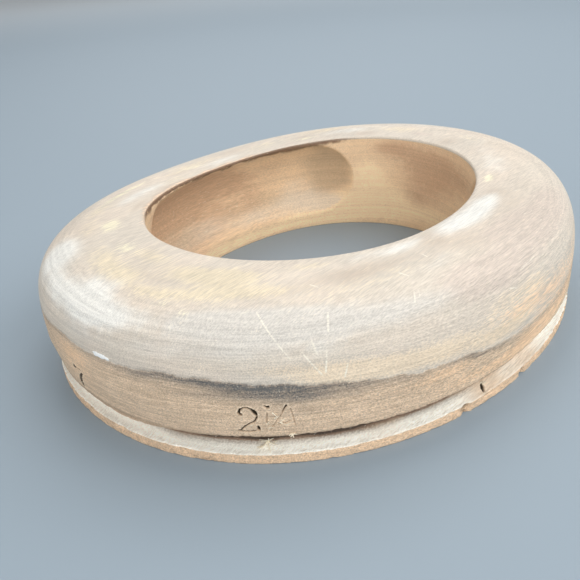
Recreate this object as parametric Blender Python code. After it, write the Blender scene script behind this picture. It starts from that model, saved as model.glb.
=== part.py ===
"""Hat block: an open oval crown ring, the wooden form on which the side of a felt crown is shaped.

Two boards are glued one on the other with wooden pegs across the glue line, and the stack is then
shaped as one: a rounded shoulder, a near-vertical wall, a cord groove over a thin lip, an oval opening
right through, and a finger-grip recess in each long side of the opening.

Metres, +Z up. The block stands on its flat base at z = 0 with its long axis along X.
"""

import math

import bmesh
import bpy
from mathutils import Matrix, Vector

INCH = 0.0254

# The head oval at the cord line: a size 7 block, 22 inches round
BLOCK_LENGTH = 0.1905
BLOCK_WIDTH = 0.1625
OVAL_POWER = 2.1

# The opening at its rim, and how far its wall leans out towards the base
OPENING_LENGTH = 0.122
OPENING_WIDTH = 0.098
OPENING_FLARE = 0.0020
RIM_ROUND = 0.0008

# Heights above the base. The rim stands higher at the two ends than at the two sides
RIM_HEIGHT = 0.0393
RIM_END_RISE = 0.0011
RIM_BACK_RISE = 0.0006
GLUE_LINE = 0.0222
CORD_LINE = 0.0093
LIP_THICKNESS = 0.0030

# The shoulder is a superellipse from the wall to the rim, boxier at the ends than at the sides
SHOULDER_POWER_ENDS = 4.3
SHOULDER_POWER_SIDES = 3.8
END_WALL_HEIGHT = 0.0090
END_WALL_LEAN = 0.20

# The cord groove: a flat underside over a cove that runs out to the lip
GROOVE_DEPTH = 0.0044
GROOVE_CORNER = 0.0008
LIP_LAND = 0.0006
EDGE_ROUND = 0.0005

# The finger-grip recess, cut with a round-nosed cutter along each long side of the opening
RECESS_CUTTER_RADIUS = 0.0190
RECESS_DEPTH = 0.0080
RECESS_HEIGHT = 0.0211
RECESS_FRONT_ANGLE = math.radians(50)
RECESS_BACK_ANGLE = math.radians(43)

# Wooden pegs across the glue line
PEG_DIAMETER = 5 / 16 * INCH
PEG_LENGTH = 0.75 * INCH
PEG_CHAMFER = 0.0008
PEG_ANGLES = (0, 55, 125, 180, 235, 305)
PEG_PLACE_AT_ENDS = 0.50
PEG_PLACE_AT_SIDES = 0.62

# Touching pieces stay this far apart
JOINT_GAP = 0.0003

# How finely the curves are faceted
RING_STEPS = 96
SHOULDER_STEPS = 16
WALL_STEPS = 4
COVE_STEPS = 6
CUTTER_SIDES = 28
CUTTER_CAP_RINGS = 15
CUTTER_RUN_RINGS = 19
PEG_SIDES = 24
SHARP_ANGLE = math.radians(30)

# How far the middle of a rounded corner lies inside the square one, for a round of 1
ROUND_MIDDLE = 1 - math.sqrt(0.5)


def angles_round():
    return [2 * math.pi * step / RING_STEPS for step in range(RING_STEPS)]


def oval_radius(length, width, angle):
    """Distance from the centre to a superellipse oval, in the direction of an angle."""
    along = abs(math.cos(angle) * 2 / length) ** OVAL_POWER
    across = abs(math.sin(angle) * 2 / width) ** OVAL_POWER
    return (along + across) ** (-1 / OVAL_POWER)


def cord_radius(angle):
    return oval_radius(BLOCK_LENGTH, BLOCK_WIDTH, angle)


def rim_radius(angle):
    return oval_radius(OPENING_LENGTH, OPENING_WIDTH, angle)


def rim_height(angle):
    return RIM_HEIGHT + RIM_END_RISE * math.cos(2 * angle) - RIM_BACK_RISE * math.cos(angle)


def opening_radius(angle, height):
    """The opening's wall, which leans out a little from the rim down to the base."""
    return rim_radius(angle) + OPENING_FLARE * (1 - height / rim_height(angle))


def towards_end(angle):
    """1 at the two ends of the oval, 0 at its two sides."""
    return 0.5 + 0.5 * math.cos(2 * angle)


def wall_top(angle):
    """Height where the straight wall ends and the shoulder starts."""
    return CORD_LINE + END_WALL_HEIGHT * towards_end(angle) ** 2


def wall_radius(angle, height):
    lean = END_WALL_LEAN * towards_end(angle) ** 2
    return cord_radius(angle) + lean * (height - CORD_LINE)


def shoulder_power(angle):
    return SHOULDER_POWER_SIDES + (SHOULDER_POWER_ENDS - SHOULDER_POWER_SIDES) * towards_end(angle)


def outer_radius(angle, height):
    """The outside of the block at any height from the cord line to the rim."""
    top = wall_top(angle)
    if height <= top:
        return wall_radius(angle, height)
    power = shoulder_power(angle)
    rise = (height - top) / (rim_height(angle) - top)
    reach = (1 - rise**power) ** (1 / power)
    return rim_radius(angle) + (wall_radius(angle, top) - rim_radius(angle)) * reach


def shoulder_points(angle, start_height):
    """(radius, height) up the shoulder from a height, and over to the round of the rim."""
    top, power = wall_top(angle), shoulder_power(angle)
    width = wall_radius(angle, top) - rim_radius(angle)
    rise = rim_height(angle) - top
    start_up = (start_height - top) / rise
    start_out = (1 - start_up**power) ** (1 / power)
    first = math.atan2(start_up, start_out)
    last = math.atan2(1, RIM_ROUND / width)
    points = []
    for step in range(SHOULDER_STEPS + 1):
        turn = first + (last - first) * step / SHOULDER_STEPS
        out, up = math.cos(turn), math.sin(turn)
        scale = (out**power + up**power) ** (-1 / power)
        points.append((rim_radius(angle) + width * out * scale, top + rise * up * scale))
    return points


def crown_section(angle):
    """The upper board's closed section: up the shoulder, round the rim and down the opening."""
    bottom = GLUE_LINE + JOINT_GAP / 2
    top = rim_height(angle)
    points = shoulder_points(angle, bottom)
    points.append((rim_radius(angle) + ROUND_MIDDLE * RIM_ROUND, top - ROUND_MIDDLE * RIM_ROUND))
    for height in (top - RIM_ROUND, (top + bottom) / 2, bottom):
        points.append((opening_radius(angle, height), height))
    return points


def base_section(angle):
    """The lower board's closed section, from the glue line down the wall and round by the lip."""
    top = GLUE_LINE - JOINT_GAP / 2
    edge = cord_radius(angle)
    points = []
    for step in range(WALL_STEPS + 1):
        height = top + (CORD_LINE + EDGE_ROUND - top) * step / WALL_STEPS
        points.append((outer_radius(angle, height), height))
    points.append((edge - EDGE_ROUND, CORD_LINE))

    # The groove's underside, its rounded corner, and the cove out to the lip
    root = edge - GROOVE_DEPTH
    inset = ROUND_MIDDLE * GROOVE_CORNER
    points.append((root + GROOVE_CORNER, CORD_LINE))
    points.append((root + inset, CORD_LINE - inset))
    cove_out = GROOVE_DEPTH - LIP_LAND
    cove_up = CORD_LINE - GROOVE_CORNER - LIP_THICKNESS
    for step in range(COVE_STEPS + 1):
        turn = math.pi / 2 * step / COVE_STEPS
        out = cove_out * (1 - math.cos(turn))
        down = cove_up * math.sin(turn)
        points.append((root + out, CORD_LINE - GROOVE_CORNER - down))

    # The lip's edge, the base, and the opening's wall
    inset = ROUND_MIDDLE * EDGE_ROUND
    points.append((edge - inset, LIP_THICKNESS - inset))
    points.append((edge, LIP_THICKNESS - EDGE_ROUND))
    points.append((edge, EDGE_ROUND))
    points.append((edge - EDGE_ROUND, 0))
    points.append((opening_radius(angle, 0) + EDGE_ROUND, 0))
    for height in (EDGE_ROUND, top / 2, top):
        points.append((opening_radius(angle, height), height))
    return points


def link(obj, collection, parent=None):
    collection.objects.link(obj)
    obj.parent = parent
    return obj


def wood(name, colour, roughness):
    material = bpy.data.materials.new(name)
    material.use_nodes = True
    shader = material.node_tree.nodes["Principled BSDF"]
    shader.inputs["Base Color"].default_value = (*colour, 1)
    shader.inputs["Roughness"].default_value = roughness
    shader.inputs["Metallic"].default_value = 0
    material.diffuse_color = (*colour, 1)
    return material


def ring(name, section, material):
    """Lofts a closed section, which changes with the angle, once round the oval."""
    bm = bmesh.new()
    outlines = []
    for angle in angles_round():
        out_x, out_y = math.cos(angle), math.sin(angle)
        outlines.append([bm.verts.new((r * out_x, r * out_y, height)) for r, height in section(angle)])
    for here, there in zip(outlines, outlines[1:] + outlines[:1]):
        for corner in range(len(here)):
            bm.faces.new((here[corner - 1], there[corner - 1], there[corner], here[corner]))
    bmesh.ops.recalc_face_normals(bm, faces=bm.faces)
    mesh = bpy.data.meshes.new(name)
    bm.to_mesh(mesh)
    bm.free()
    mesh.shade_smooth()
    mesh.set_sharp_from_angle(angle=SHARP_ANGLE)
    mesh.materials.append(material)
    return bpy.data.objects.new(name, mesh)


def cutter_centre(angle):
    radius = opening_radius(angle, RECESS_HEIGHT) - RECESS_CUTTER_RADIUS + RECESS_DEPTH
    return Vector((radius * math.cos(angle), radius * math.sin(angle)))


def cutter_track(run):
    """Centre, forward and outward directions of the cutter, at a fraction of its run, -1 to 1."""
    angle = math.pi / 2 - (RECESS_FRONT_ANGLE if run > 0 else RECESS_BACK_ANGLE) * run
    nudge = 0.001
    forward = (cutter_centre(angle - nudge) - cutter_centre(angle + nudge)).normalized()
    outward = Vector((-forward.y, forward.x))
    return cutter_centre(angle), forward, outward


def recess_cutter(name, side):
    """The space swept by a round-nosed cutter along one long side of the opening.

    The block is turned end for end between the two cuts, so each recess is the other's half turn.
    """
    bm = bmesh.new()
    bmesh.ops.create_uvsphere(
        bm, u_segments=CUTTER_SIDES, v_segments=CUTTER_CAP_RINGS, radius=RECESS_CUTTER_RADIUS
    )
    bmesh.ops.rotate(bm, verts=bm.verts, matrix=Matrix.Rotation(math.pi / 2, 3, "Y"))

    # Pull the two halves of the ball apart, and put rings along the run between them
    half_run = BLOCK_LENGTH / 4
    for vert in bm.verts:
        vert.co.x += math.copysign(half_run, vert.co.x)
    for ring_number in range(1, CUTTER_RUN_RINGS + 1):
        place = -half_run + 2 * half_run * ring_number / (CUTTER_RUN_RINGS + 1)
        bmesh.ops.bisect_plane(
            bm,
            geom=bm.verts[:] + bm.edges[:] + bm.faces[:],
            plane_co=(place, 0, 0),
            plane_no=(1, 0, 0),
        )
    bmesh.ops.recalc_face_normals(bm, faces=bm.faces)

    # Bend the run along the opening's wall, and keep the round ends straight past it
    for vert in bm.verts:
        on_run = max(-half_run, min(half_run, vert.co.x))
        centre, forward, outward = cutter_track(on_run / half_run)
        place = centre + forward * (vert.co.x - on_run) + outward * vert.co.y
        vert.co = (place.x * side, place.y * side, vert.co.z + RECESS_HEIGHT)
    mesh = bpy.data.meshes.new(name)
    bm.to_mesh(mesh)
    bm.free()
    return bpy.data.objects.new(name, mesh)


def peg_place(angle):
    """Middle of a peg, in the thick of the wood between the wall and the finger-grip recess."""
    share = PEG_PLACE_AT_SIDES + (PEG_PLACE_AT_ENDS - PEG_PLACE_AT_SIDES) * towards_end(angle) ** 2
    radius = rim_radius(angle) + (cord_radius(angle) - rim_radius(angle)) * share
    return radius * math.cos(angle), radius * math.sin(angle), GLUE_LINE


def round_bar(name, diameter, length, chamfer):
    bm = bmesh.new()
    bmesh.ops.create_cone(
        bm, cap_ends=True, segments=PEG_SIDES, radius1=diameter / 2, radius2=diameter / 2, depth=length
    )
    if chamfer:
        rims = [edge for edge in bm.edges if any(len(face.verts) > 4 for face in edge.link_faces)]
        bmesh.ops.bevel(
            bm, geom=rims, offset=chamfer, affect="EDGES", segments=1, profile=0.5, material=-1
        )
    mesh = bpy.data.meshes.new(name)
    bm.to_mesh(mesh)
    bm.free()
    mesh.shade_smooth()
    mesh.set_sharp_from_angle(angle=SHARP_ANGLE)
    return mesh


def cut(obj, cutter):
    modifier = obj.modifiers.new(cutter.name, "BOOLEAN")
    modifier.object = cutter
    modifier.operation = "DIFFERENCE"
    modifier.solver = "EXACT"


def hide(cutter):
    cutter.hide_render = True
    cutter.display_type = "WIRE"


def build():
    for obj in list(bpy.data.objects):
        bpy.data.objects.remove(obj)
    parts = bpy.data.collections.new("hat_block")
    cutters = bpy.data.collections.new("cutters")
    for collection in (parts, cutters):
        bpy.context.scene.collection.children.link(collection)
    base = link(bpy.data.objects.new("block_origin", None), parts)

    # The two boards
    crown_board = ring("crown_board", crown_section, wood("crown_wood", (0.62, 0.53, 0.43), 0.6))
    base_board = ring("base_board", base_section, wood("base_wood", (0.45, 0.32, 0.21), 0.7))
    boards = [link(board, parts, base) for board in (crown_board, base_board)]

    # The finger-grip recess in each long side of the opening
    for name, side in (("left_recess", 1), ("right_recess", -1)):
        recess = link(recess_cutter(name, side), cutters)
        hide(recess)
        for board in boards:
            cut(board, recess)

    # The pegs, each in a blind hole in both boards
    peg_wood = wood("peg_wood", (0.55, 0.36, 0.20), 0.55)
    peg_mesh = round_bar("peg", PEG_DIAMETER, PEG_LENGTH, PEG_CHAMFER)
    peg_mesh.materials.append(peg_wood)
    hole_mesh = round_bar("peg_hole", PEG_DIAMETER + 2 * JOINT_GAP, PEG_LENGTH + 2 * JOINT_GAP, 0)
    for number, degrees in enumerate(PEG_ANGLES, 1):
        place = peg_place(math.radians(degrees))
        peg = link(bpy.data.objects.new(f"peg_{number}", peg_mesh), parts, base)
        peg.location = place
        hole = link(bpy.data.objects.new(f"peg_hole_{number}", hole_mesh), cutters)
        hole.location = place
        hide(hole)
        for board in boards:
            cut(board, hole)


build()
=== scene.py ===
"""A hatter's open crown block, worn and bleached by steam, felt and fingers.

Two pale close-grained boards are glued and pegged one on the other, then turned, carved and sanded as
one: a rounded shoulder, a wall, a cord groove over a thin lip, and an oval opening with a finger-grip
recess in each long side. The depth and size figures are struck into the wall with steel punches.
"""

import math
from functools import partial

import bmesh
import bpy
import numpy as np
from mathutils import Matrix, Vector, noise


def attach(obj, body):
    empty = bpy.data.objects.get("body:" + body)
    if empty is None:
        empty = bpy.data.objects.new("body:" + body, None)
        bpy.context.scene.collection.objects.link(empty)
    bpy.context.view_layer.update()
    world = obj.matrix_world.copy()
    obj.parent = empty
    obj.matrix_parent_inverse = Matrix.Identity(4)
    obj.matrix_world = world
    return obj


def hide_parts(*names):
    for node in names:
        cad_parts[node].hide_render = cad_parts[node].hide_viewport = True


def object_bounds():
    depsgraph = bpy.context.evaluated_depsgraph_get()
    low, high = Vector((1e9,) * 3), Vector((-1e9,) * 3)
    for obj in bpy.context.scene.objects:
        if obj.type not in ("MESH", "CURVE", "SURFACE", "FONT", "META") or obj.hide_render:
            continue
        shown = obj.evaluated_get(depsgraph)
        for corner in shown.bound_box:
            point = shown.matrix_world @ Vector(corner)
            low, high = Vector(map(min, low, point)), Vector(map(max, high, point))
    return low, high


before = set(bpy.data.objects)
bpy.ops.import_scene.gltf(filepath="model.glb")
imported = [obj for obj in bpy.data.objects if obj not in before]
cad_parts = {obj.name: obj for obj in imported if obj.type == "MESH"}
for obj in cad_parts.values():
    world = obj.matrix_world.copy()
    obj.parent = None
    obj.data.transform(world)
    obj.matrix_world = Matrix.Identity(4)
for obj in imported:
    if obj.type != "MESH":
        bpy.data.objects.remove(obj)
cad_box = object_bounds()

# The camera
# Close above the block, off its left front corner, and held a little out of level.


def direction(turn, rise):
    """The way to something this far round from -Y and this high above the floor, in radians."""
    return Vector((math.sin(turn) * math.cos(rise), -math.cos(turn) * math.cos(rise), math.sin(rise)))


def placed(name, data):
    """A new object of this data, in the scene."""
    made = bpy.data.objects.new(name, data)
    bpy.context.scene.collection.objects.link(made)
    return made


aim, distance = Vector((-0.0084, 0.0082, -0.0001)), 0.2410
azimuth, elevation, roll = math.radians(-44.75), math.radians(28.82), math.radians(-4.76)
back = direction(azimuth, elevation)
camera = placed("camera", bpy.data.cameras.new("camera"))
camera.data.lens = 40.27
camera.data.clip_start = 0.01
camera.location = aim + back * distance
camera.rotation_mode = "QUATERNION"
camera.rotation_quaternion = back.to_track_quat("Z", "Y") @ Matrix.Rotation(roll, 3, "Z").to_quaternion()
bpy.context.scene.camera = camera

# The crown board
# The upper of two close-grained boards, turned and carved to the shoulder that shapes the side of a felt
# crown. Steam, felt and fingers have left it bleached, stained and scratched, with the grain along its length.
# Sizes are in millimetres and heights are above the underside. At the block's two ends the wall stands straight
# for END_WALL above the cord line and leans out by END_LEAN for each millimetre, and the shoulder is squarer.
MM = 0.001
COLUMNS = 900
BLOCK_LENGTH, BLOCK_WIDTH = 190.5, 162.5
END_WALL, END_LEAN = 9.0, 0.20
SHOULDER_POWER, POWER_AT_ENDS = 3.8, 0.5
OPENING_LENGTH, OPENING_WIDTH, OPENING_FLARE = 122.0, 98.0, 2.0
RIM_HEIGHT, RIM_END_RISE, RIM_BACK_RISE = 39.3, 1.1, 0.6
RIM_ROUND = 0.9
GLUE_LINE, CORD_LINE = 22.2, 9.3
GLUE_THICKNESS = 0.05
OUTSIDE, OPENING, GROOVE, LIP_EDGE, UNDERSIDE, JOINT = range(6)


def oval(length, width, angle):
    """Distance from the centre to a slightly square oval, in the direction of an angle."""
    power = 2.1
    along = np.abs(np.cos(angle) * 2 / length) ** power
    across = np.abs(np.sin(angle) * 2 / width) ** power
    return (along + across) ** (-1 / power)


def rim_height(angle):
    return RIM_HEIGHT + RIM_END_RISE * np.cos(2 * angle) - RIM_BACK_RISE * np.cos(angle)


def opening_radius(angle, height):
    return oval(OPENING_LENGTH, OPENING_WIDTH, angle) + OPENING_FLARE * (1 - height / rim_height(angle))


def straight_wall(angle, height):
    """Radius of the wall below the shoulder, which leans out a little towards the block's two ends."""
    end = 0.5 + 0.5 * np.cos(2 * angle)
    return oval(BLOCK_LENGTH, BLOCK_WIDTH, angle) + END_LEAN * end**2 * (height - CORD_LINE)


def shoulder(angle, way):
    """(radius, height) on the outside, for a way from 0, the top of the straight wall, to 1, the rim."""
    end = 0.5 + 0.5 * np.cos(2 * angle)
    foot = CORD_LINE + END_WALL * end**2
    power = SHOULDER_POWER + POWER_AT_ENDS * end
    out, up = np.cos(way * math.pi / 2), np.sin(way * math.pi / 2)
    scale = (out**power + up**power) ** (-1 / power)
    rim = oval(OPENING_LENGTH, OPENING_WIDTH, angle)
    radius = rim + (straight_wall(angle, foot) - rim) * out * scale
    return radius, foot + (rim_height(angle) - foot) * up * scale


def wall(angle, height):
    """Radius of the outside at a height, and the way up the shoulder there, by halving."""
    low, high = np.zeros_like(angle), np.ones_like(angle)
    for _ in range(24):
        middle = (low + high) / 2
        over = shoulder(angle, middle)[1] > height
        low, high = np.where(over, low, middle), np.where(over, middle, high)
    is_straight = height < shoulder(angle, 0 * angle)[1]
    return np.where(is_straight, straight_wall(angle, height), shoulder(angle, low)[0]), low


def grip_depth(angle, radius, height):
    """How far the finger-grip recess, cut by a round-nosed tool, lies behind the opening's wall."""
    nose, depth, level, worn = 19.0, 8.0, 21.1, 0.35
    turn = np.linspace(math.radians(-43), math.radians(50), 81)
    track_radius = opening_radius(math.pi / 2 - turn, level) - nose + depth
    track = np.stack([track_radius * np.sin(turn), track_radius * np.cos(turn)])
    side = np.where(np.sin(angle) < 0, -1, 1)
    out = np.stack([np.cos(angle) * side, np.sin(angle) * side])
    low, high = np.zeros_like(radius), np.full_like(radius, 2 * depth)
    for _ in range(16):
        middle = (low + high) / 2
        place = out * (radius + middle)
        apart = ((place[:, :, None] - track[:, None, :]) ** 2).sum(0).min(1)
        inside = apart + (height - level) ** 2 < nose**2
        low, high = np.where(inside, middle, low), np.where(inside, high, middle)
    return np.sqrt(low**2 + worn**2) - worn


def ease(value, low, high):
    share = np.clip((value - low) / (high - low), 0, 1)
    return share * share * (3 - 2 * share)


def roughness_round(angle, length, seed):
    """A random number, about -0.5 to 0.5, that changes along the ring over a length in millimetres."""
    turns = [Vector((math.cos(turn), math.sin(turn))) * (85 / length) for turn in angle]
    return np.array([noise.noise(Vector((turn.x, turn.y, seed))) for turn in turns])


def torn_depth(angle, below_rim):
    """A ragged split just under the rim, where the far side of the opening has begun to break away."""
    along = ease(np.degrees(angle), 45, 62) * ease(-np.degrees(angle), -158, -146)
    depth = np.clip(0.55 + 0.9 * roughness_round(angle, 6, 3.1) + 0.6 * roughness_round(angle, 1.6, 7.7), 0.1, 1.1)
    level = 1.25 + 0.8 * roughness_round(angle, 9, 5.3)
    return 0.75 * along * depth * np.exp(-((below_rim - level) / 0.42) ** 2)


def opening_rows(angle, heights):
    rows = []
    for height in heights:
        level = np.zeros_like(angle) + height
        radius = opening_radius(angle, level)
        torn = torn_depth(angle, rim_height(angle) - level)
        rows.append((radius + grip_depth(angle, radius, level) + torn, level, OPENING))
    return rows


def layer_of(bm, name):
    """The number that each point of a board keeps under this name."""
    return bm.verts.layers.float.get(name) or bm.verts.layers.float.new(name)


def ring(rows):
    """Wraps a grid of faces round the block, with a row of points for each (radius, height, face) of the
    section. It keeps on each point which face it is on, and how far over the curve it lies from the cord."""
    bm = bmesh.new()
    spacing = Matrix.Diagonal((COLUMNS / 2, len(rows) / 2, 1, 1))
    bmesh.ops.create_grid(bm, x_segments=COLUMNS, y_segments=len(rows), size=1, matrix=spacing)
    radius = np.array([row[0] for row in rows])
    height = np.array([row[1] for row in rows])
    first_up = height[0] - CORD_LINE if rows[0][1][0] < GLUE_LINE + 1 else 0
    steps = np.hypot(np.diff(radius, axis=0), np.diff(height, axis=0))
    if height[1][0] < height[0][0]:
        steps = -steps
    over = np.vstack([np.zeros(COLUMNS), steps.cumsum(axis=0)]) + first_up
    face_layer, over_layer = layer_of(bm, "face"), layer_of(bm, "over_curve")
    for vert in bm.verts:
        column = round(vert.co.x + COLUMNS / 2) % COLUMNS
        row = round(vert.co.y + len(rows) / 2) % len(rows)
        angle = 2 * math.pi * column / COLUMNS
        out = radius[row, column] * MM
        vert.co = (out * math.cos(angle), out * math.sin(angle), height[row, column] * MM)
        vert[face_layer] = rows[row][2]
        vert[over_layer] = over[row, column]
    bmesh.ops.remove_doubles(bm, verts=bm.verts, dist=1e-7)
    bmesh.ops.recalc_face_normals(bm, faces=bm.faces)
    return bm


def patches(angle, over, radius, laid):
    """Soft patches laid one by one, each (degrees round, mm over the curve, mm half long, mm half wide, strength).
    """
    total = np.zeros_like(angle)
    for turn, up, long, wide, strength in laid:
        apart = (angle - math.radians(turn) + math.pi) % (2 * math.pi) - math.pi
        total += strength * np.exp(-((apart * radius / long) ** 2) - ((over - up) / wide) ** 2)
    return np.minimum(total, 1.2)


def around_line(angle, marks):
    """Height of a line that runs round the block through (degrees, mm) marks."""
    turns = np.array([mark[0] for mark in marks], float)
    marks_up = np.array([mark[1] for mark in marks], float)
    return np.interp(np.degrees(angle), turns, marks_up, period=360)


# The tide line's height over the curve, its strength and its width, each at degrees round the block
TIDE_LINE = [(-174, 17.6), (-168, 17.3), (-162, 17.9), (-158, 17.6), (-151, 16.3), (-142, 14.8), (-136, 13.9),
             (-131, 12.7), (-125, 11.3), (-119, 10.6), (-112, 10.0), (-104, 8.4), (-97, 7.2), (-80, 7.5),
             (-55, 9.0), (-30, 12.5), (-5, 16.5), (25, 17.5), (60, 14.0), (95, 11.5), (130, 14.5), (160, 17.5),
             (178, 18.4)]
TIDE_STRENGTH = [(-174, 0.35), (-170, 0.55), (-165, 0.85), (-158, 1.15), (-150, 1.35), (-142, 1.2), (-136, 0.85),
                 (-130, 0.65), (-120, 0.22), (-112, 0.75), (-102, 0.45), (-95, 0.3), (-70, 0.25), (-40, 0.45),
                 (0, 0.6), (40, 0.5), (80, 0.3), (120, 0.5), (150, 0.6), (170, 0.4), (180, 0.3)]
TIDE_WIDTH = [(-175, 0.9), (-165, 1.8), (-158, 2.0), (-150, 3.0), (-142, 3.2), (-136, 1.9), (-130, 1.2),
              (-118, 0.8), (-108, 0.8), (-95, 0.9), (-60, 2.2), (0, 2.0), (60, 2.2), (120, 1.8), (170, 1.0)]
# Stains on the outside, named by their tone; the chalk is partly a painted highlight, on the shoulder and at the
# left end
CHALK = [(161, 33, 10, 8, 1.0), (-179, 34, 9, 7, 0.7), (-138, 23.5, 8, 3, 0.4), (-110, 38, 14, 4, 0.3),
         (172, 29, 9, 5, 0.75), (-178, 28, 9, 4, 0.75), (-171, 29.5, 9, 4, 0.6), (-164, 30, 8, 3.5, 0.25),
         (122, 48, 9, 4, 0.45), (134, 47, 9, 4, 0.45), (-129, 52, 9, 3.0, 0.35), (-114, 50, 8, 3.0, 0.65),
         (-92, 48.5, 9, 4.0, 0.7), (-80, 47.5, 10, 4.5, 0.8), (-68, 48.0, 8, 4.0, 0.6), (-37, 49, 14, 7, 0.4),
         (-16, 46, 14, 7, 0.3), (8, 36, 20, 8, 0.4), (30, 47, 14, 5, 0.5), (70, 33, 22, 6, 0.4),
         (84, 48, 14, 4, 0.5), (100, 31, 20, 6, 0.3)]
BUTTER = [(154.5, 48.8, 5, 3.2, 0.85), (171, 51, 5, 3, 0.6), (127, 40, 14, 1.5, 0.8), (-48.6, 51.5, 3.5, 1.8, 0.9),
          (-160.6, 33.4, 2.0, 1.3, 0.5), (-165, 35.7, 1.6, 1.2, 0.5), (45, 50, 5, 2, 0.6), (98, 44, 7, 2, 0.5)]
ASH = [(-158, 30.5, 12, 4.5, 0.85), (-148, 30.5, 12, 5.0, 0.9), (-139, 29, 12, 5.0, 0.85), (-127, 28, 12, 4.5, 0.55),
       (-117, 27, 12, 4.0, 0.4), (-178, 22.5, 12, 3.0, 0.5), (-163, 23.5, 12, 3.0, 0.45), (-151, 23.5, 10, 2.5, 0.4),
       (-22, 30, 22, 8, 0.45), (42, 30, 20, 6, 0.6), (126, 31, 18, 6, 0.5), (150, 24, 14, 4, 0.5),
       (80, 20, 24, 4, 0.4)]
STRAW = [(180, 53, 8, 4.0, 0.6), (-179.5, 42, 9, 4.5, 0.9), (-165, 49.5, 9, 4.5, 0.85), (-169, 38.5, 8, 2.5, 0.6),
         (-161, 40, 11, 3.0, 0.5), (-148, 41.5, 9, 3.0, 0.45), (-156, 44, 10, 5, 0.6), (-156, 50, 7, 4, 0.7),
         (-140.5, 52.5, 6, 2.0, 0.5), (-132, 38, 12, 3.5, 0.35), (171, 44, 8, 5, 0.5), (154, 42, 8, 4, 0.45),
         (-13, 45, 7, 2.2, 0.5), (-120, 40, 9, 3, 0.25), (12, 48, 9, 5, 0.6), (38, 41, 12, 5, 0.6),
         (62, 46, 9, 4, 0.5), (95, 42, 14, 4, 0.6), (112, 50, 7, 3, 0.5), (140, 40, 10, 4, 0.4)]
LILAC = [(172, 37, 9, 3.5, 0.3), (-150, 35.5, 9, 2.0, 0.45), (-108, 29, 12, 6, 0.75), (-98, 27, 14, 6, 0.85),
         (-80, 30, 16, 7, 0.9), (-62, 30, 16, 8, 0.8), (-84, 38, 14, 4, 0.6), (-36, 23, 16, 6, 0.5),
         (28, 28, 18, 5, 0.6), (56, 25, 18, 5, 0.6), (88, 25, 20, 5, 0.6), (118, 24, 18, 5, 0.6),
         (145, 27, 14, 5, 0.4), (52, 52, 8, 3, 0.7), (2, 52, 6, 3, 0.7)]
UMBER = [(-132, 44, 12, 5.0, 0.65), (-118, 44.5, 11, 4.0, 0.35), (-103, 48.5, 6, 4.5, 0.7), (-99, 41, 10, 4, 0.4),
         (-61, 48, 5, 4.5, 0.6), (-10.5, 55, 5, 6, 0.6), (-68, 40, 10, 4, 0.45), (-90, 36, 14, 4, 0.35),
         (-170, 44.5, 12, 1.6, 0.3), (-150, 42, 8, 3, 0.35), (-165, 40, 14, 3.0, 0.4), (-146, 40, 10, 3.0, 0.3),
         (165, 43, 8, 3, 0.3), (22, 54, 6, 4, 0.7), (46, 47, 6, 3, 0.6), (75, 41, 12, 4, 0.5),
         (104, 45, 8, 3, 0.6), (120, 53, 9, 2, 0.6), (140, 54, 9, 2, 0.6), (-152, 23, 14, 1.6, 0.25)]
TAN = [(-106, 11, 8, 2.5, 0.7), (-97, 11.5, 8, 3.0, 0.7), (-90, 17, 8, 4.0, 0.5), (-137, 16.5, 10, 3.0, 0.9),
       (-128, 15.0, 12, 3.0, 0.9), (-145, 19.0, 8, 2.0, 0.45), (-116, 14.0, 12, 3.5, 0.75),
       (-100, 18.0, 12, 4.5, 0.5), (-155, 20.0, 9, 1.6, 0.25), (-60, 16, 20, 5, 0.5), (0, 20, 30, 3, 0.4),
       (70, 18, 26, 4, 0.5), (130, 18, 20, 3, 0.4)]
OCHRE = [(-118, 7.5, 12, 2.2, 0.7), (-98, 15, 12, 3.5, 0.45), (-84, 12, 14, 5, 0.6), (-96, 1.6, 16, 2.2, 0.9),
         (-78, 3, 14, 3, 0.7), (-66, 10, 14, 7, 0.6), (-91, 4, 10, 3, 0.7), (-40, 9, 16, 5, 0.5),
         (-4, 8, 16, 5, 0.4), (46, 8, 18, 4, 0.4), (110, 7, 18, 4, 0.4), (179, 14.5, 7, 3, 0.4),
         (-112, 3, 12, 2, 0.5), (178, 9, 11, 8, 0.5)]
LOW_SLATE = [(-141, 11.0, 8, 1.0, 0.42), (-134, 9.8, 6, 0.5, 0.3), (-148, 12.4, 7, 1.0, 0.42),
             (-142, 6.4, 8, 0.5, 0.2), (-128, 6.2, 9, 0.5, 0.15), (-122, 8.0, 8, 0.5, 0.2),
             (-114, 6.2, 9, 0.5, 0.25), (-108, 4.0, 9, 0.5, 0.2), (-98, 4.4, 8, 0.5, 0.2),
             (-92, 6.9, 5, 0.6, 0.3), (-158, 12.5, 7, 1.0, 0.3), (-20, 7, 12, 1.2, 0.5), (35, 9, 12, 1.0, 0.5),
             (82, 6, 12, 1.0, 0.4), (140, 8, 12, 1.1, 0.5)]
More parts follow.
